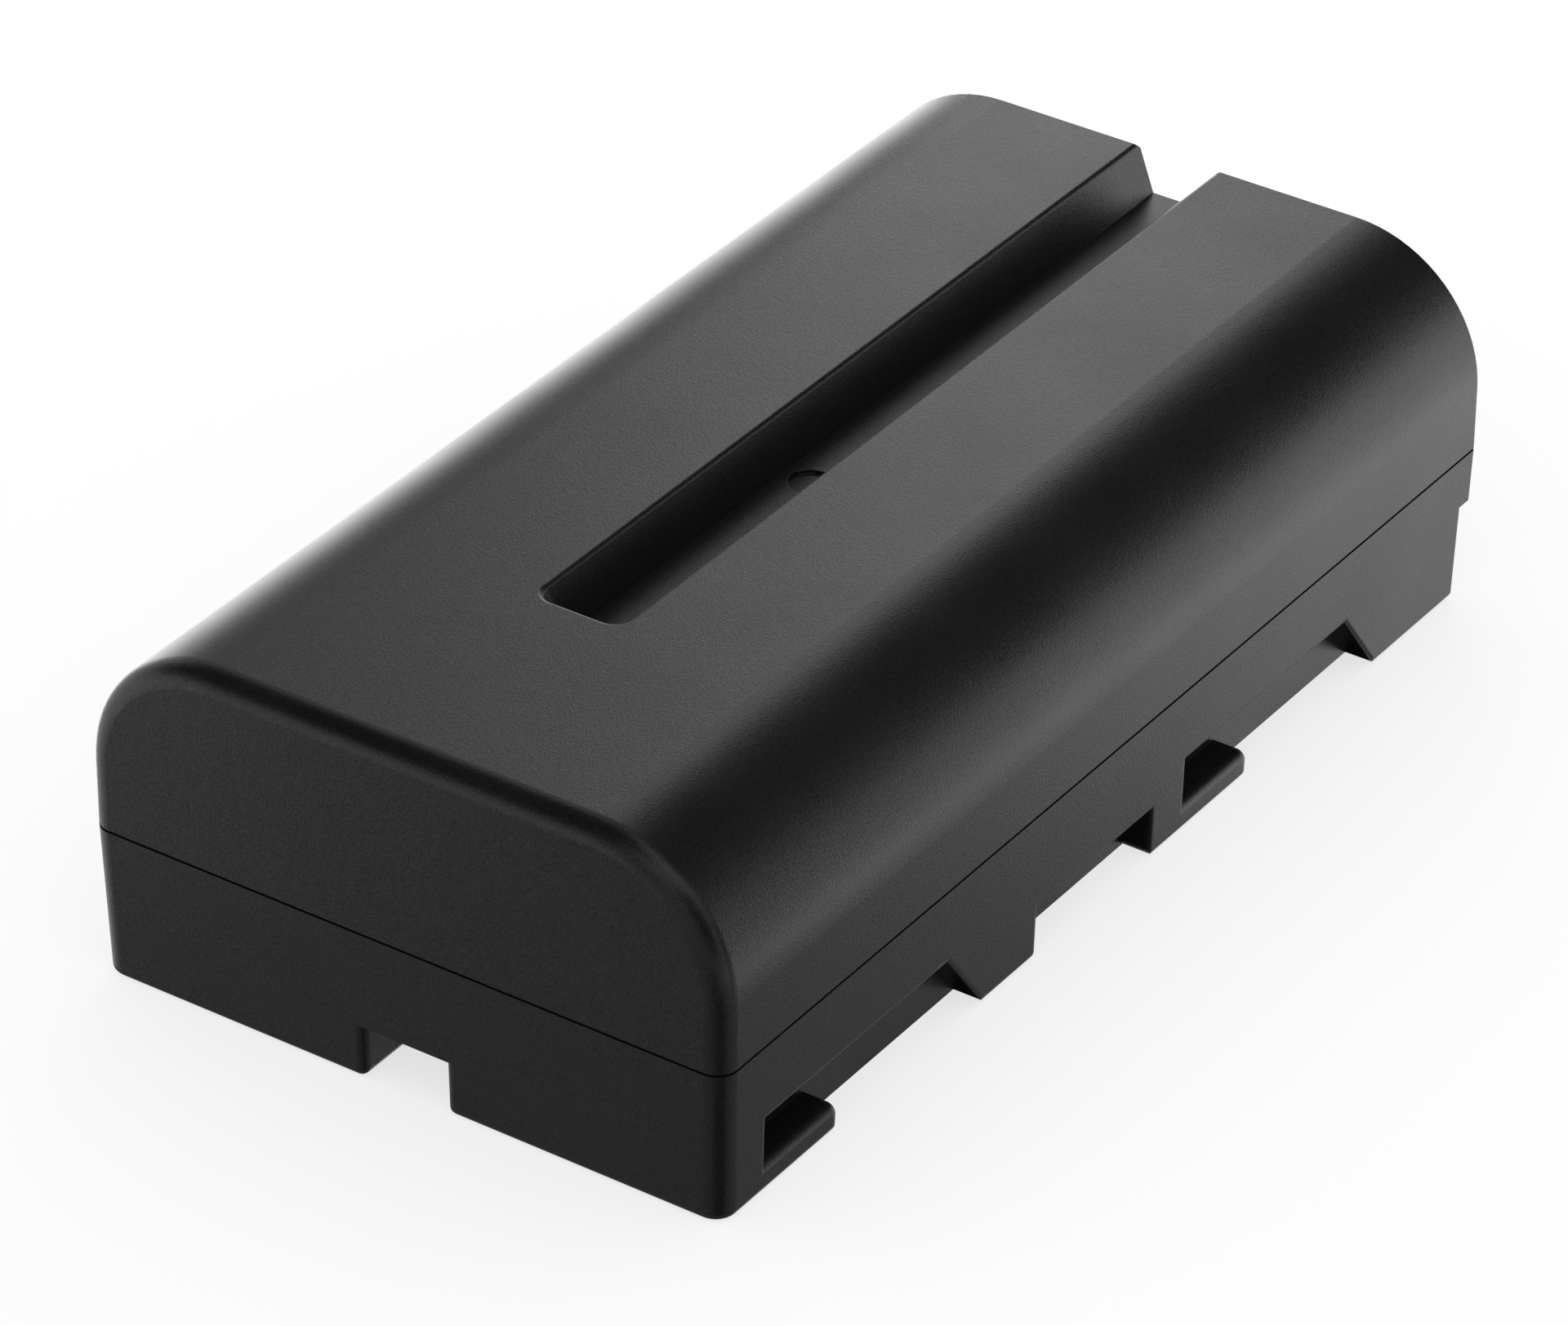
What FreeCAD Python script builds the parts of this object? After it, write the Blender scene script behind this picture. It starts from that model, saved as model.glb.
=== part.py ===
"""Slide-on camera battery: two 18650 cells in a two-piece moulded housing.

Frame: origin under the middle of the pack on the face that it slides in on,
+Z up towards the rounded side, +Y along the pack towards the contacts, +X across.
All sizes are millimetres.
"""
import FreeCAD, Part
import os
import re
import Sketcher

doc = FreeCAD.newDocument("camera_battery")

# Driving sizes: name, value and what it is
SIZES = [
    ("cell_diameter", 18.3, "a cell in its sleeve"),
    ("cell_length", 65.0, "a cell from its base to its button"),
    ("cell_gap", 0.1, "one cell to the other"),
    ("cell_play", 0.07, "cell to the trough that it lies in"),
    ("side_wall", 0.78, "shells beside the cells, where they are thinnest"),
    ("floor_wall", 1.13, "lower shell under the cells"),
    ("roof_wall", 1.03, "upper shell over the cells"),
    ("end_wall", 1.0, "the two end walls"),
    ("front_room", 2.1, "circuit board to the wall of the contact end"),
    ("seam_drop", 1.45, "cell axis down to the parting line"),
    ("seam_gap", 0.1, "open width of the parting line"),
    ("tongue_height", 1.0, "how far the lower shell's tongue stands above the parting line"),
    ("tongue_inset", 0.45, "outer face of the wall to the tongue"),
    ("tongue_thickness", 0.33, "thickness of the tongue"),
    ("tongue_clearance", 0.05, "tongue to the wall that it slides into"),
    ("tongue_corner", 0.9, "bevel across each corner of the tongue"),
    ("top_radius", 7.9, "long rounded edges of the upper shell"),
    ("end_radius", 1.2, "rounding round the closed end"),
    ("far_bevel", 0.3, "small bevel round the contact end"),
    ("bottom_radius", 0.4, "rounding round the sliding face"),
    ("side_draft", 1.6, "draft of the lower shell's walls, degrees"),
    ("step_depth", 1.35, "how far the lower part of the contact end stands back"),
    ("step_height", 5.7, "height of the part that stands back"),
    ("step_radius", 0.35, "rounding of the lip above it"),
    ("slot_depth", 2.1, "outer face to the inner wall of the side slots"),
    ("slot_start", 3.65, "closed end to the first side slot"),
    ("slot_ceiling", 4.6, "height of the entry slots"),
    ("slot_length", 15.95, "length of an entry slot along its ceiling"),
    ("slot_slant", 3.6, "how much longer the slot is at the sliding face"),
    ("slot_pitch", 38.1, "first entry slot to the second"),
    ("hook_length", 6.25, "length of the hook under each entry slot"),
    ("hook_height", 1.6, "height of the hook"),
    ("hook_radius", 0.5, "rounded outer top edge of the hook"),
    ("first_block", 4.6, "wall between the first entry slot and the middle slot"),
    ("second_block", 2.95, "wall between the middle slot and the second entry slot"),
    ("middle_ceiling", 3.2, "height of the middle slot"),
    ("mouth_radius", 0.5, "rounded corners of the side slots at the sliding face"),
    ("latch_width", 5.0, "width of the latch notch in the closed end"),
    ("latch_height", 3.2, "height of the latch notch"),
    ("latch_length", 6.0, "length of the latch notch"),
    ("latch_radius", 0.45, "rounded mouth of the latch notch"),
    ("groove_start", 15.0, "closed end to the groove in the rounded side"),
    ("groove_width", 5.2, "width of the groove at its mouth"),
    ("groove_depth", 2.8, "depth of the groove"),
    ("groove_draft", 20.0, "slope of the groove's walls, degrees"),
    ("groove_corner", 1.1, "rounded corners at the groove's closed end"),
    ("groove_edge", 0.3, "rounded rim of the groove"),
    ("gate_radius", 1.15, "round gate mark in the groove's floor"),
    ("gate_depth", 0.2, "depth of the gate mark"),
    ("sleeve_thickness", 0.1, "shrunk sleeve round each cell"),
    ("sleeve_setback", 0.2, "end of the sleeve to the end of the can"),
    ("crimp_length", 0.6, "closed mouth of the can to the top of the button"),
    ("crimp_inset", 0.7, "how far the crimp turns in"),
    ("bead_drop", 3.6, "top edge of a can down to its bead"),
    ("bead_width", 1.2, "width of the bead"),
    ("bead_depth", 0.5, "depth of the bead"),
    ("cap_recess", 1.0, "depth of the mouth that holds the cap"),
    ("mouth_inset", 2.45, "side of a can to its mouth"),
    ("gasket_thickness", 0.7, "gasket between the mouth and the cap"),
    ("cap_plate", 0.5, "thickness of the cap's plate"),
    ("button_radius", 3.1, "radius of the cap's button"),
    ("washer_hole", 3.6, "radius of the hole in the paper washer"),
    ("washer_inset", 0.65, "side of a can to the edge of the paper washer"),
    ("washer_thickness", 0.2, "thickness of the paper washer"),
    ("lower_rib_drop", 5.6, "cell axis down to the top of the lower shell's middle rib"),
    ("lower_rib_cut", 4.4, "width of the flat that tops the lower rib"),
    ("upper_rib_rise", 3.85, "cell axis up to the foot of the upper shell's middle rib"),
    ("upper_rib_cut", 2.4, "width of the flat under the upper rib"),
    ("pad_thickness", 0.4, "foam pad behind the series strip"),
    ("pad_margin", 2.6, "side of the series strip to the side of the foam pad"),
    ("pad_rise", 0.15, "edge of the series strip to the edge of the foam pad"),
    ("strip_thickness", 0.15, "nickel strip"),
    ("strip_height", 6.4, "height of the nickel strips"),
    ("strip_reach", 3.2, "cell axis to the far end of a nickel strip"),
    ("tap_width", 2.4, "width of the centre tap strip"),
    ("tab_width", 3.0, "width of a strip's solder tab"),
    ("tab_height", 1.6, "height of a strip's solder tab"),
    ("tab_drop", 2.0, "cell axis down to the solder tab"),
    ("card_thickness", 0.2, "insulating card behind the board"),
    ("card_inset", 0.5, "side of the circuit board to the side of the card"),
    ("card_drop", 0.1, "top of the circuit board to the top of the card"),
    ("card_gap", 0.2, "centre tap strip to the insulating card"),
    ("card_play", 0.15, "solder tab to the window in the card"),
    ("board_thickness", 0.8, "circuit board"),
    ("board_inset", 2.7, "outer face to the side of the circuit board"),
    ("board_rise", 5.15, "cell axis up to the top of the circuit board"),
    ("board_play", 0.1, "circuit board to the shells above and below it"),
    ("room_floor", 1.3, "lower shell under the circuit board"),
    ("room_wall", 1.3, "lower shell beside the circuit board"),
    ("contact_wall", 0.85, "wall in front of the contacts"),
    ("middle_room", 8.4, "width of the space for the board under the groove"),
    ("contact_inset", 4.0, "side of the circuit board to the middle of a contact"),
    ("contact_height", 3.2, "height of the contacts"),
    ("contact_bore", 1.05, "bore radius of a contact"),
    ("contact_radius", 1.4, "outer radius of a contact"),
    ("contact_collar", 1.9, "radius of a contact's collar"),
    ("collar_thickness", 0.3, "thickness of the collar"),
    ("contact_play", 0.05, "contact to the holes that it stands in"),
    ("contact_setback", 0.1, "mouth of a contact to the face around it"),
    ("block_inset", 1.0, "side of the circuit board to the side of the terminal block"),
    ("block_height", 4.2, "height of the terminal block"),
    ("window_width", 1.8, "width of the data contact's window"),
    ("window_height", 3.2, "height of the data contact's window"),
    ("blade_width", 1.2, "width of the data contact"),
    ("blade_height", 1.6, "height of the data contact's loop"),
    ("blade_thickness", 0.25, "thickness of the data contact"),
    ("blade_bend", 0.5, "outer radius of the data contact's bends"),
    ("blade_setback", 0.15, "front of the data contact to the face around it"),
]

# Parts on the board's front: where each is measured from, across and above the cell axis,
# then its width, height and thickness
BOARD_PARTS = [
    ("protection_chip", "middle", -1.0, 0.25, 4.4, 3.0, 0.8),
    ("mosfet_1", "middle", -7.0, -0.15, 5.0, 5.6, 0.8),
    ("mosfet_2", "middle", 7.0, -0.15, 5.0, 5.6, 0.8),
    ("sense_resistor", "left", 3.0, -0.95, 3.2, 2.4, 0.6),
    ("thermal_fuse", "right", -3.0, -0.75, 3.6, 2.6, 0.8),
    ("thermistor", "middle", 2.9, 2.55, 1.6, 0.8, 0.6),
    ("capacitor_1", "middle", -3.2, 2.95, 1.6, 0.8, 0.7),
    ("capacitor_2", "middle", 2.6, -2.75, 1.6, 0.8, 0.7),
]
for name, anchor, across, up, wide, tall, thick in BOARD_PARTS:
    SIZES += [
        (name + "_across", across, "%s of the board to the middle of the %s" % (anchor, name)),
        (name + "_up", up, "cell axis up to the middle of the " + name),
        (name + "_width", wide, "width of the " + name),
        (name + "_height", tall, "height of the " + name),
        (name + "_thickness", thick, "how far the %s stands off the board" % name),
    ]

sheet = doc.addObject("Spreadsheet::Sheet", "sheet")
for row, (alias, value, note) in enumerate(SIZES, start=1):
    sheet.set("A%d" % row, note)
    sheet.set("B%d" % row, str(value))
    sheet.setAlias("B%d" % row, alias)
doc.recompute()
ALIASES = {alias for alias, value, note in SIZES}

# Places that several pieces share, worked out from the driving sizes
CELL_RADIUS = "cell_diameter / 2"
CAN_RADIUS = "(cell_diameter / 2 - sleeve_thickness)"
TROUGH_RADIUS = "(cell_diameter / 2 + cell_play)"
CELL_X = "((cell_diameter + cell_gap) / 2)"
CELL_Z = f"(floor_wall + {TROUGH_RADIUS})"
HALF_WIDTH = f"({CELL_X} + {TROUGH_RADIUS} + side_wall)"
HEIGHT = f"({CELL_Z} + {TROUGH_RADIUS} + roof_wall)"
INSIDE = ("(pad_thickness + 2 * strip_thickness + cell_length + card_thickness"
          " + board_thickness + front_room)")
HALF_LENGTH = f"({INSIDE} / 2 + end_wall)"
SEAM = f"({CELL_Z} - seam_drop)"
LOWER_RIM = f"({SEAM} - seam_gap / 2)"
UPPER_RIM = f"({SEAM} + seam_gap / 2)"
TONGUE_TOP = f"({SEAM} + tongue_height)"
INNER_START = f"(-{INSIDE} / 2)"
INNER_END = f"({INSIDE} / 2)"
STRIP_START = f"({INNER_START} + pad_thickness)"
CELL_START = f"({STRIP_START} + strip_thickness)"
CELL_END = f"({CELL_START} + cell_length)"
CARD_START = f"({CELL_END} + strip_thickness)"
BOARD_START = f"({CARD_START} + card_thickness)"
BOARD_FRONT = f"({BOARD_START} + board_thickness)"
STEP_FACE = f"({HALF_LENGTH} - step_depth)"
STEP_FOOT = f"({STEP_FACE} - step_height * tan(side_draft))"
WALL_INSIDE = f"({STEP_FACE} - contact_wall)"
BLOCK_BACK = f"({BOARD_FRONT} + collar_thickness)"
BOARD_HALF = f"({HALF_WIDTH} - board_inset)"
BOARD_BOTTOM = "(room_floor + board_play)"
BOARD_TOP = f"({CELL_Z} + board_rise)"
SLOT_FLOOR = f"({HALF_WIDTH} - slot_depth)"
ROOM_HALF = f"({HALF_WIDTH} - room_wall)"
CONTACT_X = f"({BOARD_HALF} - contact_inset)"
CONTACT_HOLE = "(contact_radius + contact_play)"
STRIP_LOW = f"({CELL_Z} - strip_height / 2)"
TAB_LOW = f"({CELL_Z} - tab_drop - tab_height / 2)"
LOWER_RIB_TOP = f"({CELL_Z} - lower_rib_drop)"
TAP_TOP = f"({LOWER_RIB_TOP} + strip_thickness)"
CAN_TOP = "(cell_length - crimp_length)"
MOUTH_FLOOR = f"({CAN_TOP} - cap_recess)"
MOUTH_RADIUS = f"({CAN_RADIUS} - mouth_inset)"
CAP_RADIUS = f"({MOUTH_RADIUS} - gasket_thickness)"
BEYOND = "2"

pieces = []


def bound(expression):
    """The expression with each size read from the sheet."""
    return re.sub(r"[a-z_0-9]+", lambda word: "sheet." + word[0] if word[0] in ALIASES else word[0],
                  str(expression))


def number(expression):
    """The expression's value now."""
    return float(sheet.evalExpression(str(expression)))


def new_body(name):
    """An empty PartDesign body that becomes a piece of the pack."""
    body = doc.addObject("PartDesign::Body", name)
    body.Label = name
    pieces.append(body)
    doc.recompute()
    return body


def origin_plane(body, role):
    """One of the body's own origin planes."""
    return next(item for item in body.Origin.OriginFeatures if item.Role == role)


def new_sketch(body, name, role, at):
    """A sketch on one of the body's origin planes, moved to the place 'at' along its axis."""
    sketch = body.newObject("Sketcher::SketchObject", name)
    sketch.AttachmentSupport = [(origin_plane(body, role), "")]
    sketch.MapMode = "FlatFace"
    sign = "-" if role == "XZ_Plane" else ""
    sketch.setExpression("AttachmentOffset.Base.z", bound(f"{sign}({at})"))
    return sketch


def add_outline(sketch, corners):
    """A closed outline; each corner is a pair of expressions.

    A corner with three more (centre across, centre along, radius) starts an arc.
    """
    first = sketch.GeometryCount
    count = len(corners)
    spots = [FreeCAD.Vector(number(corner[0]), number(corner[1]), 0) for corner in corners]
    ends = []
    for index, corner in enumerate(corners):
        start, finish = spots[index], spots[(index + 1) % count]
        if len(corner) == 2:
            sketch.addGeometry(Part.LineSegment(start, finish), False)
            ends.append((1, 2))
            continue
        centre = FreeCAD.Vector(number(corner[2]), number(corner[3]), 0)
        turns_left = (start - centre).cross(finish - centre).z > 0
        ends.append((1, 2) if turns_left else (2, 1))
        low, high = (start, finish) if turns_left else (finish, start)
        circle = Part.Circle(centre, FreeCAD.Vector(0, 0, 1), number(corner[4]))
        arc = Part.ArcOfCircle(circle, circle.parameter(low), circle.parameter(high))
        sketch.addGeometry(arc, False)
        datum = Sketcher.Constraint("Radius", first + index, number(corner[4]))
        place = sketch.addConstraint(datum)
        sketch.setExpression("Constraints[%d]" % place, bound(corner[4]))
    for index in range(count):
        following = (index + 1) % count
        sketch.addConstraint(Sketcher.Constraint("Coincident", first + index, ends[index][1],
                                                 first + following, ends[following][0]))
    for index, corner in enumerate(corners):
        for kind, expression in zip(("DistanceX", "DistanceY"), corner):
            datum = Sketcher.Constraint(kind, -1, 1, first + index, ends[index][0],
                                        number(expression))
            place = sketch.addConstraint(datum)
            sketch.setExpression("Constraints[%d]" % place, bound(expression))


def add_circle(sketch, across, along, radius):
    """A circle about the point (across, along)."""
    centre = FreeCAD.Vector(number(across), number(along), 0)
    index = sketch.addGeometry(Part.Circle(centre, FreeCAD.Vector(0, 0, 1), number(radius)), False)
    for kind, expression in (("DistanceX", across), ("DistanceY", along)):
        datum = Sketcher.Constraint(kind, -1, 1, index, 3, number(expression))
        place = sketch.addConstraint(datum)
        sketch.setExpression("Constraints[%d]" % place, bound(expression))
    place = sketch.addConstraint(Sketcher.Constraint("Radius", index, number(radius)))
    sketch.setExpression("Constraints[%d]" % place, bound(radius))


def box_corners(low_across, high_across, low_along, high_along):
    """Four corners of an upright rectangle."""
    return [(low_across, low_along), (high_across, low_along),
            (high_across, high_along), (low_across, high_along)]


def bevelled_corners(half_across, half_along, bevel):
    """Eight corners of a rectangle about the middle whose corners are bevelled."""
    signs = [(1, -1, 0), (1, 1, 1), (-1, 1, 0), (-1, -1, 1)]
    corners = []
    for across, along, order in signs:
        pair = [(f"{across} * ({half_across} - {bevel})", f"{along} * ({half_along})"),
                (f"{across} * ({half_across})", f"{along} * ({half_along} - {bevel})")]
        corners += pair if order == 0 else pair[::-1]
    return corners


def grow(body, name, sketch, length, way=1, both=False):
    """Pad the sketch along its axis; way is the direction along the axis."""
    pad = body.newObject("PartDesign::Pad", name)
    pad.Profile = sketch
    pad.setExpression("Length", bound(length))
    pad.SideType = "Symmetric" if both else "One side"
    forward = -1 if "XZ" in sketch.AttachmentSupport[0][0].Role else 1
    pad.Reversed = way != forward
    doc.recompute()


def cut(body, name, sketch, length, way=1, both=False):
    """Pocket the sketch along its axis, and check that it removes something."""
    before = body.Shape.Volume
    pocket = body.newObject("PartDesign::Pocket", name)
    pocket.Profile = sketch
    pocket.setExpression("Length", bound(length))
    pocket.SideType = "Symmetric" if both else "One side"
    forward = 1 if "XZ" in sketch.AttachmentSupport[0][0].Role else -1
    pocket.Reversed = way != forward
    doc.recompute()
    if not pocket.Shape.Volume < before:
        raise RuntimeError(name + " removes nothing")
    return pocket


def within(kind, elements, across, along, upward):
    """Names of the elements that lie inside a box of expressions, its sides included."""
    slack = 0.02
    limits = [(number(low) - slack, number(high) + slack) for low, high in (across, along, upward)]
    names = []
    for index, element in enumerate(elements, start=1):
        box = element.BoundBox
        spans = ((box.XMin, box.XMax), (box.YMin, box.YMax), (box.ZMin, box.ZMax))
        if all(low <= start and end <= high for (start, end), (low, high) in zip(spans, limits)):
            names.append(kind + str(index))
    return names


def faces_within(shape, across, along, upward):
    """Names of the faces that lie inside a box of expressions, its sides included."""
    return within("Face", shape.Faces, across, along, upward)


def lean(body, name, angle, faces, neutral, reverse=False):
    """Draft the named faces about a level face of the body."""
    draft = body.newObject("PartDesign::Draft", name)
    draft.Base = (draft.BaseFeature or body.Tip, faces)
    draft.NeutralPlane = (draft.Base[0], neutral)
    draft.setExpression("Angle", bound(angle))
    draft.Reversed = reverse
    doc.recompute()


def mirror(body, name, features):
    """Repeat features on the other side of the body's YZ plane."""
    copy = body.newObject("PartDesign::Mirrored", name)
    copy.Originals = features
    copy.MirrorPlane = (origin_plane(body, "YZ_Plane"), [""])
    body.Tip = copy
    doc.recompute()


def edges_within(shape, across, along, upward):
    """Names of the edges that lie inside a box of expressions, its faces included."""
    return within("Edge", shape.Edges, across, along, upward)


def upright_edges(shape, across, along, upward):
    """Names of the edges inside the box that run mostly up and down."""
    names = []
    for name in edges_within(shape, across, along, upward):
        box = shape.getElement(name).BoundBox
        if box.ZLength > 4 * max(box.XLength, box.YLength):
            names.append(name)
    return names


def soften(body, name, size, names, kind="Fillet"):
    """Fillet or chamfer the named edges of the body's last feature."""
    if not names:
        raise RuntimeError(name + " found no edge")
    edge = body.newObject("PartDesign::" + kind, name)
    edge.Base = (edge.BaseFeature or body.Tip, names)
    edge.setExpression("Radius" if kind == "Fillet" else "Size", bound(size))
    doc.recompute()


def block(name, low, size, whole=True):
    """A cuboid from its lowest corner and three lengths; whole makes it a piece by itself."""
    piece = doc.addObject("Part::Box", name)
    piece.Label = name
    for side, expression in zip(("Length", "Width", "Height"), size):
        piece.setExpression(side, bound(expression))
    for axis, expression in zip("xyz", low):
        piece.setExpression("Placement.Base." + axis, bound(expression))
    if whole:
        pieces.append(piece)
    return piece


def turned(name, outline, place, backwards=False):
    """A turned piece: corners are (radius, distance along the axis), the axis lies along Y."""
    body = new_body(name)
    sketch = new_sketch(body, name + "_profile", "XY_Plane", "0")
    add_outline(sketch, outline)
    turn = body.newObject("PartDesign::Revolution", name + "_turn")
    turn.Profile = sketch
    turn.ReferenceAxis = (sketch, ["V_Axis"])
    turn.Angle = 360
    if backwards:
        body.Placement.Rotation = FreeCAD.Rotation(FreeCAD.Vector(0, 0, 1), 180)
    for axis, expression in zip("xyz", place):
        body.setExpression("Placement.Base." + axis, bound(expression))
    doc.recompute()
    return body


def entry_slot(start):
    """Side view of an L-shaped entry slot: hook below it, slanted far end, rounded mouth."""
    hook = f"{start} + hook_length"
    slope = "sqrt(slot_slant ^ 2 + slot_ceiling ^ 2)"
    mouth = f"({start} + slot_length + slot_slant)"
    turn = "mouth_radius"
    setback = f"({turn} * ({slope} - slot_slant) / slot_ceiling)"
    return [(start, "hook_height"),
            (start, "slot_ceiling"),
            (f"{start} + slot_length", "slot_ceiling"),
            (f"{mouth} - {setback} * slot_slant / {slope}", f"{setback} * slot_ceiling / {slope}",
             f"{mouth} + {setback}", turn, turn),
            (f"{mouth} + {setback}", "0"),
            (f"{mouth} + {setback}", f"-{BEYOND}"),
            (f"{hook} - {turn}", f"-{BEYOND}"),
            (f"{hook} - {turn}", "0", f"{hook} - {turn}", turn, turn),
            (hook, turn),
            (hook, "hook_height")]


def middle_slot(start, end):
    """Side view of the middle slot with its rounded mouth."""
    turn = "mouth_radius"
    return [(f"{start} - {turn}", "0", f"{start} - {turn}", turn, turn),
            (start, turn),
            (start, "middle_ceiling"),
            (end, "middle_ceiling"),
            (end, turn, f"{end} + {turn}", turn, turn),
            (f"{end} + {turn}", "0"),
            (f"{end} + {turn}", f"-{BEYOND}"),
            (f"{start} - {turn}", f"-{BEYOND}")]


def cut_trough(body, name, start, length):
    """Hollow the body for one cell, then for the other."""
    sketch = new_sketch(body, name + "_circle", "XZ_Plane", start)
    add_circle(sketch, CELL_X, CELL_Z, TROUGH_RADIUS)
    trough = cut(body, name, sketch, length)
    mirror(body, name + "_pair", [trough])


def window_corners():
    """The data contact's window, centred on the contacts' height."""
    return box_corners("-window_width / 2", "window_width / 2",
                       "contact_height - window_height / 2", "contact_height + window_height / 2")


def build_lower_shell():
    """The half that slides in: side slots, latch notch, stepped contact end, cell troughs."""
    body = new_body("lower_shell")
    everywhere = (f"-{HALF_WIDTH}", HALF_WIDTH)
    whole = (f"-{HALF_LENGTH}", HALF_LENGTH)
    upright = ("0", LOWER_RIM)
    rim = new_sketch(body, "rim_outline", "XY_Plane", LOWER_RIM)
    add_outline(rim, box_corners(*everywhere, *whole))
    grow(body, "tub", rim, LOWER_RIM, way=-1)
    bottom = faces_within(body.Shape, everywhere, whole, ("0", "0"))
    top = faces_within(body.Shape, everywhere, whole, (LOWER_RIM, LOWER_RIM))
    walls = faces_within(body.Shape, everywhere, whole, upright)
    lean(body, "tub_draft", "side_draft", [wall for wall in walls if wall not in bottom + top], top,
         reverse=True)

    near_end = (f"-{HALF_LENGTH}", f"-{HALF_LENGTH} + end_wall")
    far_end = (f"{HALF_LENGTH} - end_wall", HALF_LENGTH)
    soften(body, "closed_end_corners", "end_radius",
           upright_edges(body.Shape, everywhere, near_end, upright))
    soften(body, "contact_end_corners", "far_bevel",
           upright_edges(body.Shape, everywhere, far_end, upright), kind="Chamfer")

    step = new_sketch(body, "step_profile", "YZ_Plane", "0")
    lip = f"({HALF_LENGTH} - ({LOWER_RIM} - step_height) * tan(side_draft))"
    add_outline(step, [(STEP_FACE, "step_height"), (STEP_FOOT, "0"), (STEP_FOOT, f"-{BEYOND}"),
                       (f"{HALF_LENGTH} + {BEYOND}", f"-{BEYOND}"),
                       (f"{HALF_LENGTH} + {BEYOND}", "step_height + step_radius"),
                       (lip, "step_height + step_radius",
                        f"{lip} - step_radius", "step_height + step_radius", "step_radius"),
                       (f"{lip} - step_radius", "step_height")])
    cut(body, "contact_step", step, f"2 * {HALF_WIDTH} + {BEYOND}", both=True)
    soften(body, "bottom_rounding", "bottom_radius",
           edges_within(body.Shape, everywhere, whole, ("0", "0")))

    first = f"(-{HALF_LENGTH} + slot_start)"
    second = f"({first} + slot_pitch)"
    middle = f"({first} + slot_length + slot_slant + first_block)"
    outlines = [("first_slot", entry_slot(first)), ("second_slot", entry_slot(second)),
                ("middle_slot", middle_slot(middle, f"({second} - second_block)"))]
    slots = []
    for name, outline in outlines:
        slot = new_sketch(body, name + "_outline", "YZ_Plane", SLOT_FLOOR)
        add_outline(slot, outline)
        slots.append(cut(body, name, slot, f"slot_depth + {BEYOND}", way=1))
    mirror(body, "slots_pair", slots)
    hook_rims = []
    for side in ("-1", "1"):
        across = sorted([f"{side} * {HALF_WIDTH}", f"{side} * ({HALF_WIDTH} - hook_radius)"],
                        key=number)
        hook_rims += edges_within(body.Shape, across, whole, ("hook_height", "hook_height"))
    soften(body, "hook_rounding", "hook_radius", hook_rims)

    latch = new_sketch(body, "latch_outline", "XZ_Plane", f"-{HALF_LENGTH} - {BEYOND}")
    add_outline(latch, box_corners("-latch_width / 2", "latch_width / 2",
                                   f"-{BEYOND}", "latch_height"))
    cut(body, "latch_notch", latch, f"latch_length + {BEYOND}")
    soften(body, "latch_rounding", "latch_radius",
           upright_edges(body.Shape, ("-latch_width / 2", "latch_width / 2"), near_end,
                         ("0", "latch_height")))

    cut_trough(body, "lower_trough", INNER_START, f"{CARD_START} - {INNER_START}")
    rib = new_sketch(body, "lower_rib_outline", "XZ_Plane", INNER_START)
    add_outline(rib, box_corners("-lower_rib_cut / 2", "lower_rib_cut / 2",
                                 LOWER_RIB_TOP, f"{LOWER_RIM} + {BEYOND}"))
    cut(body, "lower_rib", rib, f"{CARD_START} - {INNER_START}")

    room = new_sketch(body, "contact_room_profile", "YZ_Plane", "0")
    shelf = "step_height + contact_wall"
    add_outline(room, [(CELL_END, "room_floor"), (WALL_INSIDE, "room_floor"),
                       (WALL_INSIDE, shelf), (INNER_END, shelf),
                       (INNER_END, f"{LOWER_RIM} + {BEYOND}"), (CELL_END, f"{LOWER_RIM} + {BEYOND}")])
    cut(body, "contact_space", room, f"2 * {ROOM_HALF}", both=True)

    holes = new_sketch(body, "contact_hole_outline", "XZ_Plane", f"{WALL_INSIDE} - 0.2")
    add_circle(holes, CONTACT_X, "contact_height", CONTACT_HOLE)
    contact_hole = cut(body, "contact_hole", holes, f"step_depth + {BEYOND}")
    mirror(body, "contact_holes", [contact_hole])
    window = new_sketch(body, "data_window_outline", "XZ_Plane", f"{WALL_INSIDE} - 0.2")
    add_outline(window, window_corners())
    cut(body, "data_window", window, f"step_depth + {BEYOND}")

    tongue = new_sketch(body, "tongue_outline", "XY_Plane", LOWER_RIM)
    for inset in ("tongue_inset", "(tongue_inset + tongue_thickness)"):
        add_outline(tongue, bevelled_corners(f"{HALF_WIDTH} - {inset}",
                                             f"{HALF_LENGTH} - {inset}", "tongue_corner"))
    grow(body, "tongue", tongue, f"{TONGUE_TOP} - {LOWER_RIM}")


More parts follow.
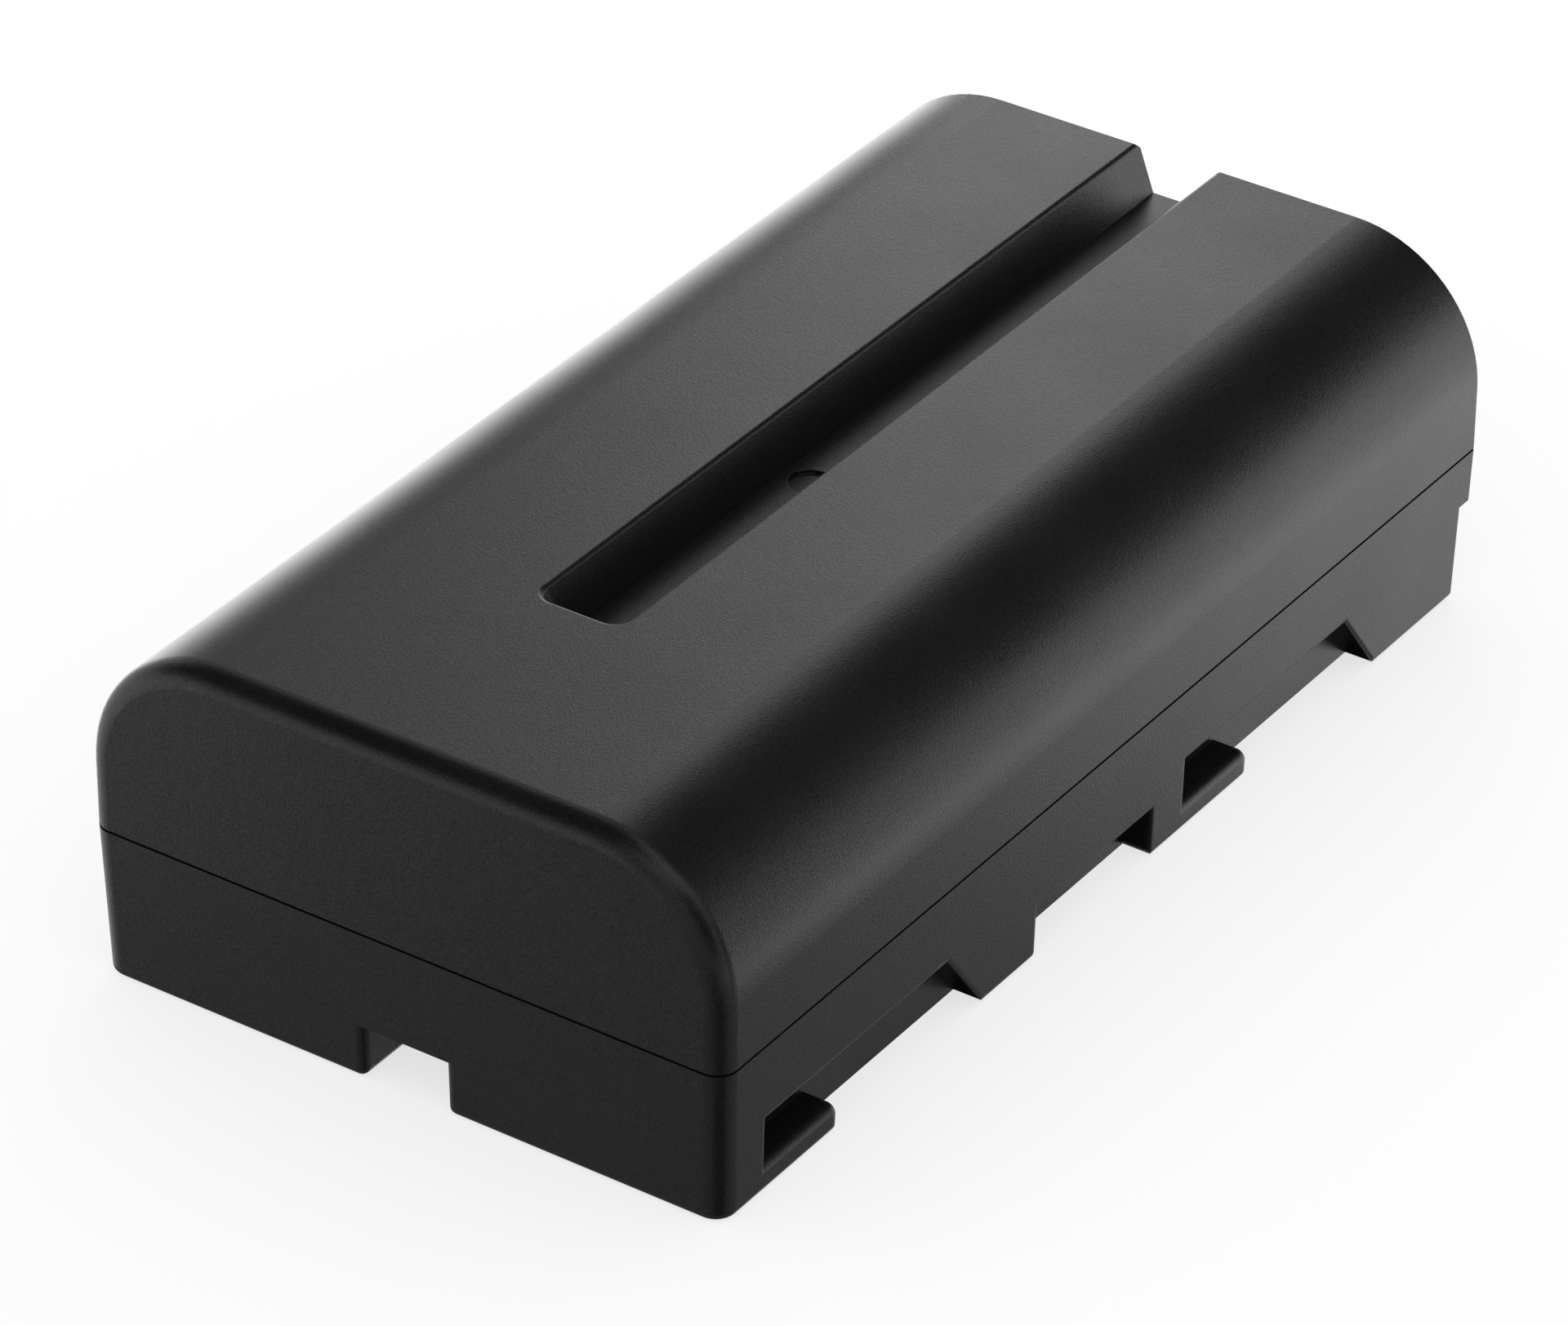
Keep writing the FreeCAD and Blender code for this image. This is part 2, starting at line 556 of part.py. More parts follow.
def build_upper_shell():
    """The rounded half: a groove from the contact end, a rebate for the tongue, cell troughs."""
    body = new_body("upper_shell")
    shoulder = f"{HEIGHT} - top_radius"
    flank = f"{HALF_WIDTH} - top_radius"
    arch = new_sketch(body, "arch_profile", "XZ_Plane", f"-{HALF_LENGTH}")
    add_outline(arch, [(f"-{HALF_WIDTH}", UPPER_RIM), (HALF_WIDTH, UPPER_RIM),
                       (HALF_WIDTH, shoulder, flank, shoulder, "top_radius"),
                       (flank, HEIGHT),
                       (f"-({flank})", HEIGHT, f"-({flank})", shoulder, "top_radius"),
                       (f"-{HALF_WIDTH}", shoulder)])
    grow(body, "arch", arch, f"2 * {HALF_LENGTH}")
    everywhere = (f"-{HALF_WIDTH}", HALF_WIDTH)
    above = (UPPER_RIM, HEIGHT)
    for name, end, size, kind in (("closed_end_edge", f"-{HALF_LENGTH}", "end_radius", "Fillet"),
                                  ("contact_end_edge", HALF_LENGTH, "far_bevel", "Chamfer")):
        rim = edges_within(body.Shape, everywhere, (end, end), (UPPER_RIM, UPPER_RIM))
        around = edges_within(body.Shape, everywhere, (end, end), above)
        soften(body, name, size, [edge for edge in around if edge not in rim], kind)

    groove = new_sketch(body, "groove_outline", "XY_Plane", HEIGHT)
    groove_end = f"-{HALF_LENGTH} + groove_start"
    across = ("-groove_width / 2", "groove_width / 2")
    along = (groove_end, HALF_LENGTH)
    floor = (f"{HEIGHT} - groove_depth", f"{HEIGHT} - groove_depth")
    depth = (floor[0], HEIGHT)
    mouth = (HEIGHT, HEIGHT)
    add_outline(groove, box_corners(*across, groove_end, f"{HALF_LENGTH} + {BEYOND}"))
    cut(body, "groove", groove, "groove_depth", way=-1)
    sides = faces_within(body.Shape, across, along, depth)
    level = faces_within(body.Shape, across, along, floor)
    lean(body, "groove_draft_angle", "groove_draft", [side for side in sides if side not in level],
         faces_within(body.Shape, everywhere, (f"-{HALF_LENGTH}", HALF_LENGTH), mouth))
    corner_reach = f"{groove_end} + groove_depth * tan(groove_draft)"
    corners = edges_within(body.Shape, across, (groove_end, corner_reach), depth)
    level = edges_within(body.Shape, across, (groove_end, corner_reach), floor)
    level += edges_within(body.Shape, across, (groove_end, corner_reach), mouth)
    soften(body, "groove_corners", "groove_corner", [edge for edge in corners if edge not in level])
    soften(body, "groove_rim", "groove_edge", edges_within(body.Shape, across, along, mouth))
    gate = new_sketch(body, "gate_outline", "XY_Plane", floor[0])
    add_circle(gate, "0", "0", "gate_radius")
    cut(body, "gate_mark", gate, "gate_depth", way=-1)

    rebate = new_sketch(body, "rebate_outline", "XY_Plane", UPPER_RIM)
    inset = "(tongue_inset - tongue_clearance)"
    add_outline(rebate, bevelled_corners(f"{HALF_WIDTH} - {inset}", f"{HALF_LENGTH} - {inset}",
                                         "tongue_corner"))
    cut(body, "tongue_rebate", rebate, f"{TONGUE_TOP} + tongue_clearance - {UPPER_RIM}")

    inside = f"{INNER_END} - {INNER_START}"
    hollow = new_sketch(body, "hollow_profile", "XZ_Plane", INNER_START)
    reach = f"{CELL_X} + {TROUGH_RADIUS}"
    add_outline(hollow, box_corners(f"-({reach})", reach, f"{UPPER_RIM} - {BEYOND}", CELL_Z))
    cut(body, "hollow", hollow, inside)
    cut_trough(body, "upper_trough", INNER_START, inside)
    rib = new_sketch(body, "upper_rib_profile", "XZ_Plane", INNER_START)
    add_outline(rib, box_corners("-upper_rib_cut / 2", "upper_rib_cut / 2",
                                 UPPER_RIM, f"{CELL_Z} + upper_rib_rise"))
    cut(body, "upper_rib", rib, inside)
    room = new_sketch(body, "middle_room_profile", "XZ_Plane", CELL_END)
    add_outline(room, box_corners("-middle_room / 2", "middle_room / 2",
                                  UPPER_RIM, f"{BOARD_TOP} + board_play"))
    cut(body, "middle_room", room, f"{INNER_END} - {CELL_END}")


def build_cell(side, backwards):
    """One cell: can, crimped cap with its gasket, paper washer and shrunk sleeve."""
    across = CELL_X if side == "right" else f"-{CELL_X}"
    place = (across, CELL_END if backwards else CELL_START, CELL_Z)
    bead = f"{CAN_TOP} - bead_drop"
    turned(side + "_cell_can", [
        ("0", "0"), (CAN_RADIUS, "0"),
        (CAN_RADIUS, f"{bead} - bead_width / 2"),
        (f"{CAN_RADIUS} - bead_depth", bead),
        (CAN_RADIUS, f"{bead} + bead_width / 2"),
        (CAN_RADIUS, f"{CAN_TOP} - crimp_inset"), (f"{CAN_RADIUS} - crimp_inset", CAN_TOP),
        (MOUTH_RADIUS, CAN_TOP), (MOUTH_RADIUS, MOUTH_FLOOR),
        ("0", MOUTH_FLOOR)], place, backwards)
    plate_top = f"{MOUTH_FLOOR} + cap_plate"
    turned(side + "_cell_cap", [
        ("0", MOUTH_FLOOR), (CAP_RADIUS, MOUTH_FLOOR), (CAP_RADIUS, plate_top),
        ("button_radius", plate_top), ("button_radius", "cell_length"),
        ("0", "cell_length")], place, backwards)
    turned(side + "_cell_gasket",
           box_corners(CAP_RADIUS, MOUTH_RADIUS, MOUTH_FLOOR, CAN_TOP), place, backwards)
    turned(side + "_cell_washer",
           box_corners("washer_hole", f"{CAN_RADIUS} - washer_inset",
                       CAN_TOP, f"{CAN_TOP} + washer_thickness"),
           place, backwards)
    turned(side + "_cell_sleeve",
           box_corners(CAN_RADIUS, CELL_RADIUS, "sleeve_setback", f"{CAN_TOP} - sleeve_setback"),
           place, backwards)


def build_end_strip(name, across):
    """A nickel strip on the contact end of a cell, with its solder tab through the card."""
    plate = block(name + "_plate", (f"{across} - strip_reach", CELL_END, STRIP_LOW),
                  ("2 * strip_reach", "strip_thickness", "strip_height"), whole=False)
    tab = block(name + "_tab", (f"{across} - tab_width / 2", CARD_START, TAB_LOW),
                ("tab_width", "card_thickness", "tab_height"), whole=False)
    strip = doc.addObject("Part::Fuse", name)
    strip.Label = name
    strip.Base = plate
    strip.Tool = tab
    pieces.append(strip)


def build_strips():
    """The nickel strips that join the cells and lead to the board."""
    reach = f"{CELL_X} + strip_reach"
    block("series_strip", (f"-({reach})", STRIP_START, STRIP_LOW),
          (f"2 * ({reach})", "strip_thickness", "strip_height"))
    build_end_strip("positive_strip", f"-{CELL_X}")
    build_end_strip("negative_strip", CELL_X)
    body = new_body("centre_tap_strip")
    bend = new_sketch(body, "tap_profile", "YZ_Plane", "0")
    add_outline(bend, [(STRIP_START, LOWER_RIB_TOP), (BOARD_START, LOWER_RIB_TOP),
                       (BOARD_START, TAP_TOP), (CELL_START, TAP_TOP),
                       (CELL_START, STRIP_LOW), (STRIP_START, STRIP_LOW)])
    grow(body, "tap", bend, "tap_width", both=True)


def build_near_pad():
    """The foam pad between the series strip and the closed end."""
    reach = f"{CELL_X} + strip_reach + pad_margin"
    block("near_pad", (f"-({reach})", INNER_START, f"{STRIP_LOW} - pad_rise"),
          (f"2 * ({reach})", "pad_thickness", "strip_height + 2 * pad_rise"))


def build_end_card():
    """The insulating card behind the board, with a window for each solder tab."""
    body = new_body("end_card")
    outline = new_sketch(body, "card_outline", "XZ_Plane", CARD_START)
    add_outline(outline, box_corners(f"-({BOARD_HALF} - card_inset)", f"{BOARD_HALF} - card_inset",
                                     f"{TAP_TOP} + card_gap", f"{BOARD_TOP} - card_drop"))
    for across in (f"-{CELL_X}", CELL_X):
        add_outline(outline, box_corners(f"{across} - tab_width / 2 - card_play",
                                         f"{across} + tab_width / 2 + card_play",
                                         f"{TAB_LOW} - card_play",
                                         f"{TAB_LOW} + tab_height + card_play"))
    grow(body, "card", outline, "card_thickness")


def build_board():
    """The circuit board with its two contact holes, and what is soldered on its front."""
    body = new_body("circuit_board")
    outline = new_sketch(body, "board_outline", "XZ_Plane", BOARD_START)
    add_outline(outline, box_corners(f"-{BOARD_HALF}", BOARD_HALF, BOARD_BOTTOM, BOARD_TOP))
    for sign in ("-", ""):
        add_circle(outline, sign + CONTACT_X, "contact_height", CONTACT_HOLE)
    grow(body, "board", outline, "board_thickness")
    anchors = {"left": f"-{BOARD_HALF}", "middle": "0", "right": BOARD_HALF}
    for name, anchor, *sizes in BOARD_PARTS:
        block(name, (f"{anchors[anchor]} + {name}_across - {name}_width / 2", BOARD_FRONT,
                     f"{CELL_Z} + {name}_up - {name}_height / 2"),
              (f"{name}_width", f"{name}_thickness", f"{name}_height"))


def build_contacts():
    """Two round sockets, the data contact between them and the block that holds all three."""
    collar_end = "board_thickness + collar_thickness"
    mouth = f"{STEP_FACE} - contact_setback - {BOARD_START}"
    for name, across in (("positive_contact", f"-{CONTACT_X}"),
                         ("negative_contact", CONTACT_X)):
        turned(name, [("contact_bore", "0"), ("contact_radius", "0"),
                      ("contact_radius", "board_thickness"),
                      ("contact_collar", "board_thickness"), ("contact_collar", collar_end),
                      ("contact_radius", collar_end), ("contact_radius", mouth),
                      ("contact_bore", mouth)], (across, BOARD_START, "contact_height"))

    blade = new_body("data_contact")
    loop = new_sketch(blade, "blade_profile", "YZ_Plane", "0")
    front = f"({STEP_FACE} - blade_setback)"
    bend = f"{front} - blade_bend"
    low, high = "(contact_height - blade_height / 2)", "(contact_height + blade_height / 2)"
    inner_bend = "blade_bend - blade_thickness"
    add_outline(loop, [
        (BOARD_FRONT, low),
        (bend, low, bend, f"{low} + blade_bend", "blade_bend"),
        (front, f"{low} + blade_bend"),
        (front, f"{high} - blade_bend", bend, f"{high} - blade_bend", "blade_bend"),
        (bend, high),
        (BOARD_FRONT, high),
        (BOARD_FRONT, f"{high} - blade_thickness"),
        (bend, f"{high} - blade_thickness", bend, f"{high} - blade_bend", inner_bend),
        (f"{front} - blade_thickness", f"{high} - blade_bend"),
        (f"{front} - blade_thickness", f"{low} + blade_bend",
         bend, f"{low} + blade_bend", inner_bend),
        (bend, f"{low} + blade_thickness"),
        (BOARD_FRONT, f"{low} + blade_thickness")])
    grow(blade, "blade", loop, "blade_width", both=True)

    body = new_body("terminal_block")
    outline = new_sketch(body, "block_outline", "XZ_Plane", BLOCK_BACK)
    add_outline(outline, box_corners(f"-({BOARD_HALF} - block_inset)",
                                     f"{BOARD_HALF} - block_inset",
                                     BOARD_BOTTOM, f"{BOARD_BOTTOM} + block_height"))
    for sign in ("-", ""):
        add_circle(outline, sign + CONTACT_X, "contact_height", CONTACT_HOLE)
    add_outline(outline, window_corners())
    grow(body, "block", outline, f"{WALL_INSIDE} - {BLOCK_BACK}")


def check_document():
    """Stop if any object failed or any piece has no sound shape."""
    doc.recompute()
    for item in doc.Objects:
        if "Invalid" in item.State or "Error" in item.State:
            raise RuntimeError("%s is in state %s" % (item.Name, item.State))
    for piece in pieces:
        if piece.Shape.isNull() or not piece.Shape.isValid() or not piece.Shape.Solids:
            raise RuntimeError(piece.Label + " has no sound shape")


build_lower_shell()
build_upper_shell()
build_cell("left", backwards=False)
build_cell("right", backwards=True)
build_strips()
build_end_card()
build_near_pad()
build_board()
build_contacts()
check_document()

os.makedirs("parts", exist_ok=True)
for piece in pieces:
    piece.Shape.exportStep("parts/%s.step" % piece.Label)
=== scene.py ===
"""Looks of the slide-on camera battery: finishes, studio light and the photograph's camera.

Metres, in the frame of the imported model: rounded side up, contacts towards +Y.
"""
import math

import bpy
from mathutils import Matrix, Vector


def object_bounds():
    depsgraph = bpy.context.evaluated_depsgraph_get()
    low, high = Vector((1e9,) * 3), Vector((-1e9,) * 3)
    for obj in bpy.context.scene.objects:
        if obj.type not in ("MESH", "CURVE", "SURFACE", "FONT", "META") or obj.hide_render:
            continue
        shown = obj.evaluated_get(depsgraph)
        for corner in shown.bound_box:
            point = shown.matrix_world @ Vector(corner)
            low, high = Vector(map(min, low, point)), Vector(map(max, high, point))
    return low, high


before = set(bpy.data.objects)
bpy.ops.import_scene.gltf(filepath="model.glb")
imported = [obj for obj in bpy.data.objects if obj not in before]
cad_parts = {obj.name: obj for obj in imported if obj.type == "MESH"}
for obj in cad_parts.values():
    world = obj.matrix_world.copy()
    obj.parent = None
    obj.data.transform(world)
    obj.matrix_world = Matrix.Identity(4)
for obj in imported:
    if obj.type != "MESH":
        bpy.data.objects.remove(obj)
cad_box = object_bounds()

MM = 0.001
WHITE = (1, 1, 1, 1)

# The photograph's camera, fitted to the pack's outline and corners. The sensor and the lens are
# in millimetres. It aims across and up in the picture from a point over the middle of the base.
SENSOR = 36.0
LENS = 182.8
AZIMUTH = math.radians(34.24)
ELEVATION = math.radians(32.85)
ROLL = math.radians(0.32)
DISTANCE = 410.9 * MM
AIM_HEIGHT = 10.0 * MM
AIM_ACROSS = -1.30 * MM
AIM_UP = -2.72 * MM
CLIP_START = 10.0 * MM

# Features of the housing that its finish follows. The side slots repeat along the pack, so the
# ends of a hook, of an entry slot and of the middle slot count from the start of a repeat.
SEAM_HEIGHT = 8.9 * MM
# Painted shade: how far above and below the parting line its reflection is taken away, to
# darken the seam
SEAM_SHADE_REACH = 0.075 * MM
SLOT_START = -31.75 * MM
SLOT_PITCH = 38.1 * MM
SLOT_TOP = 5.0 * MM
HOOK_END = 6.25 * MM
HOOK_TOP = 2.2 * MM
ENTRY_END = 19.55 * MM
ENTRY_LEAN = 3.6 / 4.6
MIDDLE_END = 35.15 * MM
SIDE_SKIN = 18.2 * MM
NEAR_SKIN = -34.3 * MM

# How far from those ends the edges look round, and how round each kind of edge looks
HOOK_REACH = 0.8 * MM
ENTRY_REACH = 0.75 * MM
MIDDLE_REACH = 0.85 * MM
ROUND_EDGE = 0.38 * MM
SLOT_EDGE = 0.18 * MM
SHELL_EDGE = 0.08 * MM
INNER_EDGE = 0.05 * MM
BEVEL_SAMPLES = 8

# Black plastic of the housing, with a fine grain and coarse clouds. Scales are in features per
# metre, and shares are those of the fine noise where it is mixed with the coarse one.
BLACK = ((0.0045, 0.0045, 0.0047), (0.0075, 0.0075, 0.0077))
BLACK_ROUGHNESS = (0.28, 0.39)
BLACK_SPECULAR = (0.36, 0.64)
GRAIN_SCALE = 9000
GRAIN_DEPTH = 0.015 * MM
CLOUD_SCALE = 140
CLOUD_DEPTH = 0.02 * MM
COLOUR_SHARE = 0.75
ROUGHNESS_SHARE = 0.6

# Other plain materials by slot: name, dark and light colour, roughness, scale and depth of the
# grain, and strength of the reflection
PLASTICS = {
    "block_plastic": ("glass_filled_nylon", (0.012, 0.012, 0.012), (0.022, 0.022, 0.022),
                      0.5, 5000, 0.01 * MM, 0.5),
    "sleeve_film": ("shrink_film", (0.015, 0.10, 0.26), (0.02, 0.13, 0.32),
                    0.25, 300, 0.01 * MM, 0.5),
    "gasket_plastic": ("gasket_plastic", (0.55, 0.56, 0.55), (0.66, 0.66, 0.64),
                       0.45, 1500, 0.004 * MM, 0.5),
    "washer_paper": ("washer_paper", (0.62, 0.60, 0.54), (0.76, 0.74, 0.68),
                     0.8, 4000, 0.02 * MM, 0.2),
    "foam": ("foam", (0.02, 0.02, 0.02), (0.05, 0.05, 0.05),
             0.9, 2500, 0.08 * MM, 0.15),
    "card_sheet": ("fish_paper", (0.16, 0.22, 0.24), (0.22, 0.29, 0.31),
                   0.7, 3000, 0.015 * MM, 0.25),
    "board_laminate": ("green_laminate", (0.006, 0.07, 0.025), (0.010, 0.10, 0.035),
                       0.35, 2500, 0.006 * MM, 0.5),
    "chip_resin": ("chip_resin", (0.014, 0.014, 0.015), (0.028, 0.028, 0.029),
                   0.55, 6000, 0.008 * MM, 0.35),
    "chip_ceramic": ("chip_ceramic", (0.26, 0.17, 0.10), (0.34, 0.23, 0.14),
                     0.4, 3000, 0.004 * MM, 0.5),
}
PLASTIC_SPREAD = 0.05

# Metals by slot: name, dark and light colour, roughness, and how often the fine lines change
# along each axis, compared with LINE_SCALE
METALS = {
    "contact_metal": ("gold_plated_brass", (0.80, 0.52, 0.20), (0.86, 0.60, 0.27),
                      0.24, (1, 0.2, 1)),
    "nickel": ("rolled_nickel", (0.52, 0.50, 0.46), (0.62, 0.60, 0.56),
               0.32, (0.2, 1, 3)),
    "can_steel": ("nickel_plated_steel", (0.48, 0.48, 0.48), (0.58, 0.58, 0.59),
                  0.3, (3, 0.1, 3)),
}
METAL_SPREAD = 0.07
LINE_SCALE = 1000
LINE_DEPTH = 0.004 * MM
TARNISH_SCALE = 400

# World and floor
AMBIENT = 0.8
FLOOR_SIZE = 6.0
FLOOR_DROP = 0.02 * MM
FLOOR_COLOUR = (0.8, 0.8, 0.8, 1)
FLOOR_ROUGHNESS = 0.9
FLOOR_GLOW = 0.72
FLOOR_SHADE = (0.35, 0.35, 0.35, 1)

# Studio: name, centre, point that it faces, width, height, and brightness, where 1 is white.
# Only reflections see the cards, and they see the white world where no card stands.
PACK = (0, 0, 0.02)
KEY_LIGHT = ("key_light", (-0.1116, 0.1992, 0.0995), PACK, 0.0615, 0.184, 1.40)
CARDS = [
    # Light along the left shoulder
    ("rim_card", (-0.283, 0.293, -0.11), PACK, 0.36, 0.30, 2.8),
    # Darker top, most towards the closed end and on the left
    ("upper_card", (-0.12, 0.25, 0.39), PACK, 0.70, 0.44, 0.55),
    ("left_card", (-0.328, 0.285, 0.136), PACK, 0.208, 0.19, 0.30),
    # Dark band along the right shoulder
    ("back_flag", (0.10, 0.23, 0.245), PACK, 0.38, 0.36, 0.0),
    # Dark line along the closed end's rounding
    ("front_flag", (-0.19, -0.13, 0.34), PACK, 0.60, 0.70, 0.0),
    # Lower edge of the dark band, most at the closed end
    ("right_flag", (0.287, 0.133, 0.05), PACK, 0.18, 0.26, 0.0),
    # Near right upright edge, and the rounding that runs from it over the right shoulder
    ("corner_flag", (0.17, -0.17, -0.09), (0.17, -0.17, 0), 0.22, 0.24, 0.0),
    ("arc_flag", (0.34, -0.16, 0.14), PACK, 0.34, 0.36, 0.0),
    # Lower side of the closed end's rounding
    ("front_card", (0.22, -0.88, 0.20), PACK, 1.90, 0.90, 0.38),
    # Dark far ends of the slots
    ("near_base_flag", (0, -0.0075, -0.003), (0, -0.0075, 0.02), 0.036, 0.019, 0.0),
    ("far_base_flag", (0, 0.027, -0.003), (0, 0.027, 0.02), 0.036, 0.012, 0.0),
    # Light on the upper side wall
    ("side_card", (0.11, 0.17, -0.017), (0.02, 0.02, 0.01), 0.16, 0.148, 1.90),
    # Darker closed end, and darker lower side wall towards it
    ("under_card", (0.086, -0.19, -0.10), (0.086, -0.19, 0), 0.448, 0.46, 0.24),
    ("under_side_card", (0.17, 0.086, -0.10), (0.17, 0.086, 0), 0.28, 0.092, 0.24),
]


class Finish:
    """A procedural material built up one layer at a time on a Principled shader."""

    def __init__(self, name, metallic=0.0, specular=0.5):
        self.material = bpy.data.materials.new(name)
        self.material.use_nodes = True
        self.tree = self.material.node_tree
        self.shader = self.tree.nodes["Principled BSDF"]
        self.shader.inputs["Metallic"].default_value = metallic
        self.shader.inputs["Specular IOR Level"].default_value = specular
        coordinates = self.tree.nodes.new("ShaderNodeTexCoord")
        self.place = coordinates.outputs["Object"]
        self.normal = None

    def axes(self):
        """Place across and along the pack, and height above the face that it slides in on."""
        node = self.tree.nodes.new("ShaderNodeSeparateXYZ")
        self.tree.links.new(self.place, node.inputs["Vector"])
        return node.outputs["X"], node.outputs["Y"], node.outputs["Z"]

    def stretched(self, x, y, z):
        """Coordinates scaled along each axis, for grain that runs one way."""
        mapping = self.tree.nodes.new("ShaderNodeMapping")
        mapping.inputs["Scale"].default_value = (x, y, z)
        self.tree.links.new(self.place, mapping.inputs["Vector"])
        return mapping.outputs["Vector"]

    def noise(self, scale, detail=2.0, roughness=0.5, place=None):
        """A noise value, scale in features per metre."""
        node = self.tree.nodes.new("ShaderNodeTexNoise")
        node.inputs["Scale"].default_value = scale
        node.inputs["Detail"].default_value = detail
        node.inputs["Roughness"].default_value = roughness
        self.tree.links.new(place or self.place, node.inputs["Vector"])
        return node.outputs["Fac"]

    def ranged(self, value, low, high, start=0.3, end=0.7):
        """The part of a value from start to end, spread from low to high."""
        node = self.tree.nodes.new("ShaderNodeMapRange")
        node.inputs["From Min"].default_value = start
        node.inputs["From Max"].default_value = end
        node.inputs["To Min"].default_value = low
        node.inputs["To Max"].default_value = high
        self.tree.links.new(value, node.inputs["Value"])
        return node.outputs["Result"]

    def maths(self, kind, *values):
        """Values combined; each is a number or a socket."""
        node = self.tree.nodes.new("ShaderNodeMath")
        node.operation = kind
        for socket, value in zip(node.inputs, values):
            if isinstance(value, (int, float)):
                socket.default_value = value
            else:
                self.tree.links.new(value, socket)
        return node.outputs["Value"]

    def blend(self, fine, coarse):
        """A fine and a coarse noise mixed."""
        return self.maths("ADD", self.maths("MULTIPLY", fine, ROUGHNESS_SHARE),
                          self.maths("MULTIPLY", coarse, 1 - ROUGHNESS_SHARE))

    def colour(self, factor, dark, light):
        """Base colour mixed from two colours by a value between 0 and 1."""
        mix = self.tree.nodes.new("ShaderNodeMix")
        mix.data_type = "RGBA"
        mix.inputs["A"].default_value = (*dark, 1)
        mix.inputs["B"].default_value = (*light, 1)
        self.tree.links.new(factor, mix.inputs["Factor"])
        self.tree.links.new(mix.outputs["Result"], self.shader.inputs["Base Color"])

    def rough(self, value, low, high):
        """Roughness that follows a value between low and high."""
        self.tree.links.new(self.ranged(value, low, high), self.shader.inputs["Roughness"])

    def sheen(self, value):
        """Strength of the reflection."""
        self.tree.links.new(value, self.shader.inputs["Specular IOR Level"])

    def soft_edges(self, radius):
        """Sharp edges shaded as if rounded; the radius is a number or a socket."""
        bevel = self.tree.nodes.new("ShaderNodeBevel")
        bevel.samples = BEVEL_SAMPLES
        if isinstance(radius, float):
            bevel.inputs["Radius"].default_value = radius
        else:
            self.tree.links.new(radius, bevel.inputs["Radius"])
        self.normal = bevel.outputs["Normal"]
        self.tree.links.new(self.normal, self.shader.inputs["Normal"])

    def bump(self, height, distance):
        """Relief over the soft edges and over any relief that is there already."""
        node = self.tree.nodes.new("ShaderNodeBump")
        node.inputs["Distance"].default_value = distance
        self.tree.links.new(height, node.inputs["Height"])
        self.tree.links.new(self.normal, node.inputs["Normal"])
        self.normal = node.outputs["Normal"]
        self.tree.links.new(self.normal, self.shader.inputs["Normal"])


def edge_radius(finish, x, y, height):
    """Wide at the hooks and the slots' far ends, narrow at other outer edges, 0 in the slots.

    The closed end's face lies within the reach of a middle slot's end, so the latch notch is
    wide too.
    """
    maths = finish.maths
    along = maths("FLOORED_MODULO", maths("SUBTRACT", y, SLOT_START), SLOT_PITCH)
    leaning = maths("MULTIPLY_ADD", height, ENTRY_LEAN, along)
    entry_end = maths("COMPARE", leaning, ENTRY_END, ENTRY_REACH)
    middle_end = maths("COMPARE", along, MIDDLE_END, MIDDLE_REACH)
    hook = maths("MULTIPLY", maths("COMPARE", along, HOOK_END, HOOK_REACH),
                 maths("LESS_THAN", height, HOOK_TOP))
    wide = maths("MAXIMUM", maths("MAXIMUM", entry_end, middle_end), hook)
    skin = maths("MAXIMUM", maths("GREATER_THAN", maths("ABSOLUTE", x), SIDE_SKIN),
                 maths("LESS_THAN", y, NEAR_SKIN))
    low_radius = maths("MULTIPLY", skin, finish.ranged(wide, SLOT_EDGE, ROUND_EDGE, 0, 1))
    low = maths("LESS_THAN", height, SLOT_TOP)
    return maths("ADD", maths("MULTIPLY", low, low_radius),
                 maths("MULTIPLY", maths("SUBTRACT", 1, low), SHELL_EDGE))


def housing_finish():
    """Black moulded plastic with a fine spark-eroded grain, painted shade at the parting line.
    """
    finish = Finish("moulded_black_plastic")
    grain = finish.noise(GRAIN_SCALE, detail=3, roughness=0.6)
    cloud = finish.noise(CLOUD_SCALE, detail=3)
    tone = finish.maths("ADD", finish.ranged(grain, 0, COLOUR_SHARE),
                        finish.ranged(cloud, 0, 1 - COLOUR_SHARE))
    finish.colour(tone, *BLACK)
    finish.rough(finish.blend(grain, cloud), *BLACK_ROUGHNESS)
    x, y, height = finish.axes()
    # Painted shade: no reflection in a thin band along the parting line, so that the seam reads
    # darker
    painted_seam_shade = finish.maths("COMPARE", height, SEAM_HEIGHT, SEAM_SHADE_REACH)
    finish.sheen(finish.maths("MULTIPLY", finish.ranged(grain, *BLACK_SPECULAR),
                              finish.maths("SUBTRACT", 1, painted_seam_shade)))
    finish.soft_edges(edge_radius(finish, x, y, height))
    finish.bump(grain, GRAIN_DEPTH)
    finish.bump(cloud, CLOUD_DEPTH)
    return finish.material


def plastic_finish(name, dark, light, rough, grain_scale, depth, specular):
    """Plain plastic, paper, foam or ceramic with its own colour and grain."""
    finish = Finish(name, specular=specular)
    grain = finish.noise(grain_scale, detail=3)
    finish.colour(finish.ranged(grain, 0, 1), dark, light)
    finish.rough(grain, rough - PLASTIC_SPREAD, rough + PLASTIC_SPREAD)
    finish.soft_edges(INNER_EDGE)
    finish.bump(grain, depth)
    return finish.material


def metal_finish(name, dark, light, rough, direction):
    """Drawn or plated metal with fine lines that run one way."""
    finish = Finish(name, metallic=1.0)
    lines = finish.noise(LINE_SCALE, detail=4, place=finish.stretched(*direction))
    tarnish = finish.noise(TARNISH_SCALE)
    finish.colour(finish.ranged(tarnish, 0, 1), dark, light)
    finish.rough(finish.blend(lines, tarnish), rough - METAL_SPREAD, rough + METAL_SPREAD)
    finish.soft_edges(INNER_EDGE)
    finish.bump(lines, LINE_DEPTH)
    return finish.material


